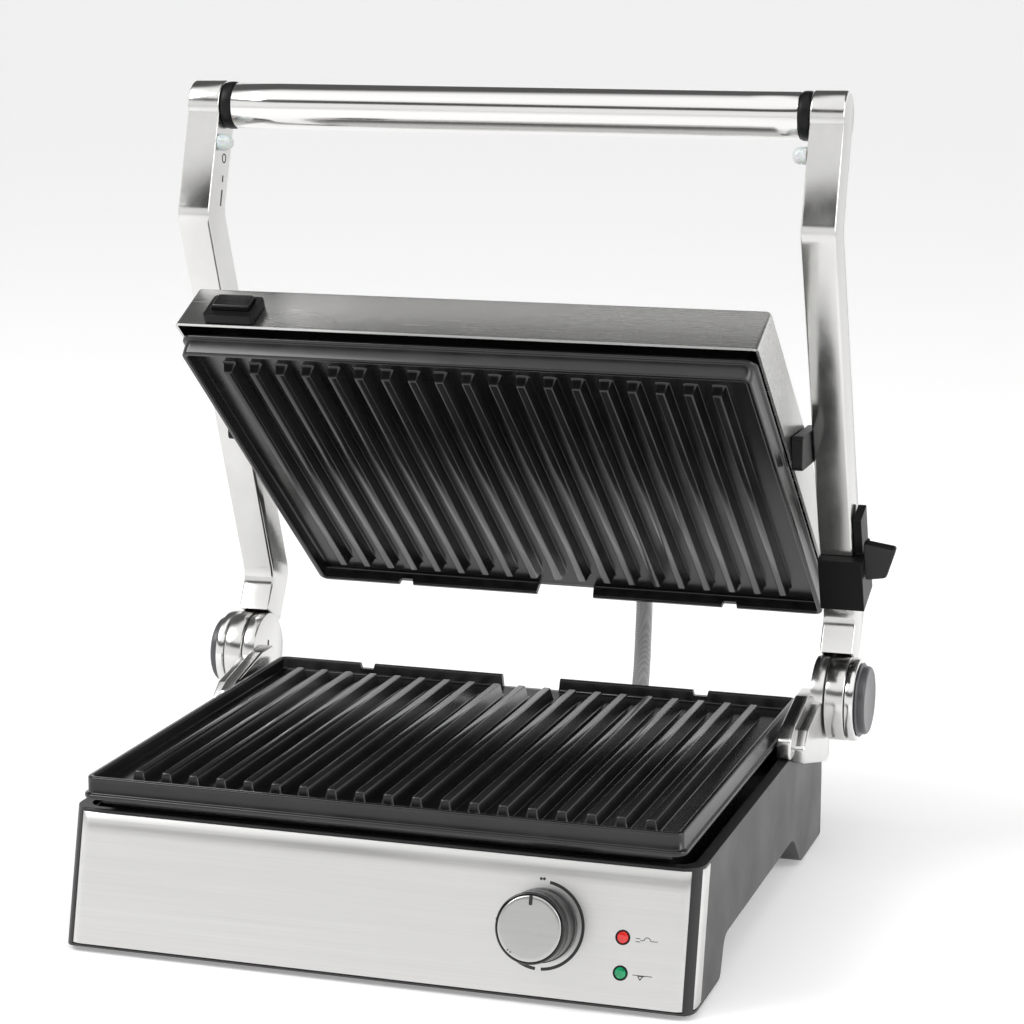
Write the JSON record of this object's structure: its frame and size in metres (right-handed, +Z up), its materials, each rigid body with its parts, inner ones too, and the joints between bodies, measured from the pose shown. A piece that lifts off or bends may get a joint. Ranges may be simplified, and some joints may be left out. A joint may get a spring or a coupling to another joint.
{
  "type": "panini press",
  "caption": "Countertop contact grill standing open: ribbed plates, cranked arms with a tube handle, steel front with heat knob and lamps.",
  "frame": {"origin": "middle of the overall outline, on the table under the rubber feet", "axes": "+Z up, -Y towards the user (the knob side), +X to the user's right"},
  "size_m": [0.389, 0.3676, 0.4112],
  "materials": {
    "brushed_sheet": "fine horizontal brushing",
    "arm_casting": "satin",
    "turned_disc": "turned and polished",
    "dark_cap": "dark grey satin",
    "plain_steel": "plain",
    "plate_coating": "black non-stick coating",
    "black_plastic": "satin",
    "soft_black": "matte",
    "foot_rubber": "matte",
    "clear_bumper": "milky silicone",
    "grey_sleeve": "woven glass sleeve",
    "heater_tube": "heat darkened",
    "reflector_sheet": "aluminised",
    "insulator": "ceramic",
    "red_lens": "translucent",
    "green_lens": "translucent"
  },
  "bodies": {
    "base": {"base_housing": "black_plastic", "front_panel": "brushed_sheet", "bottom_cover": "black_plastic", "deck_tray": "black_plastic", "lower_heat_reflector": "reflector_sheet", "lower_heating_element": "heater_tube", "thermostat_body": "insulator", "power_lamp_lens": "red_lens", "ready_lamp_lens": "green_lens", "lamp_holder": "insulator", "terminal_block": "insulator", "cord_gland": "soft_black", "foot_front_left": "foot_rubber", "foot_front_right": "foot_rubber", "foot_rear_left": "foot_rubber", "foot_rear_right": "foot_rubber", "cover_screw_1": "plain_steel", "cover_screw_2": "plain_steel", "cover_screw_3": "plain_steel", "cover_screw_4": "plain_steel", "hinge_bracket_left": "arm_casting", "hinge_bracket_right": "arm_casting", "heater_lead_sleeve": "grey_sleeve"},
    "hinge_hubs": {"hinge_hub_left": "plain_steel", "hinge_hub_right": "plain_steel"},
    "arms": {"arm_left": "arm_casting", "arm_right": "arm_casting", "handle_tube": "brushed_sheet", "handle_ring_left": "soft_black", "handle_ring_right": "soft_black", "hinge_disc_left": "turned_disc", "hinge_disc_right": "turned_disc", "hinge_cap_left": "dark_cap", "hinge_cap_right": "dark_cap", "arm_bumper_left": "clear_bumper", "arm_bumper_right": "clear_bumper"},
    "hinge_release": {"lock_slider": "black_plastic", "lock_tab": "soft_black"},
    "head_pivots": {"pivot_block_left": "black_plastic", "pivot_block_right": "black_plastic", "pivot_pin_left": "plain_steel", "pivot_pin_right": "plain_steel"},
    "head": {"head_cover": "brushed_sheet", "head_frame": "black_plastic", "upper_heat_reflector": "reflector_sheet", "upper_heating_element": "heater_tube", "button_plinth": "black_plastic"},
    "release_button": {"upper_release_button": "soft_black"},
    "upper_plate": {"upper_grill_plate": "plate_coating"},
    "lower_plate": {"lower_grill_plate": "plate_coating"},
    "drip_tray": {"drip_tray": "black_plastic"},
    "heat_knob": {"knob_body": "soft_black", "knob_cap": "brushed_sheet", "thermostat_spindle": "plain_steel"}
  },
  "joints": [
    {"name": "arm_hinge", "type": "hinge", "parent": "base", "child": "hinge_hubs", "pos_m": [-0.00631, 0.09985, 0.08545], "axis": [-1, 0, 0], "range_deg": [-66, 0], "deforming": ["heater_lead_sleeve"]},
    {"name": "flat_open_hinge", "type": "hinge", "parent": "hinge_hubs", "child": "arms", "pos_m": [-0.00631, 0.09985, 0.08545], "axis": [-1, 0, 0], "range_deg": [0, 110]},
    {"name": "head_level", "type": "hinge", "parent": "arms", "child": "head_pivots", "pos_m": [-0.00631, 0.07765, 0.2295], "axis": [-1, 0, 0], "range_deg": [0, 26.4]},
    {"name": "head_flat", "type": "hinge", "parent": "head_pivots", "child": "head", "pos_m": [-0.00631, 0.07765, 0.2295], "axis": [-1, 0, 0], "range_deg": [0, 30.4]},
    {"name": "hinge_release_slide", "type": "slide", "parent": "arms", "child": "hinge_release", "axis": [0, -0.3601, 0.9329], "range_m": [0, 0.0115]},
    {"name": "heat_knob_turn", "type": "hinge", "parent": "base", "child": "heat_knob", "pos_m": [0.07769, -0.16039, 0.036], "axis": [0, 0.9704, -0.2416], "range_deg": [0, 285]},
    {"name": "release_button_press", "type": "slide", "parent": "head", "child": "release_button", "axis": [0, 0.4269, -0.9043], "range_m": [0, 0.0025], "stiffness_N_per_m": 600, "springref_m": -0.001},
    {"name": "upper_plate_release", "type": "slide", "parent": "head", "child": "upper_plate", "axis": [0, -0.6382, -0.7698], "range_m": [0, 0.04]},
    {"name": "lower_plate_lift", "type": "slide", "parent": "base", "child": "lower_plate", "axis": [0, 0, 1], "range_m": [0, 0.04]},
    {"name": "drip_tray_slide", "type": "slide", "parent": "base", "child": "drip_tray", "axis": [0, 1, 0], "range_m": [0, 0.06]}
  ],
  "couplings": [
    {"joint": "head_level", "follows": "arm_hinge", "ratio": -0.4},
    {"joint": "head_flat", "follows": "flat_open_hinge", "ratio": 0.2764}
  ]
}
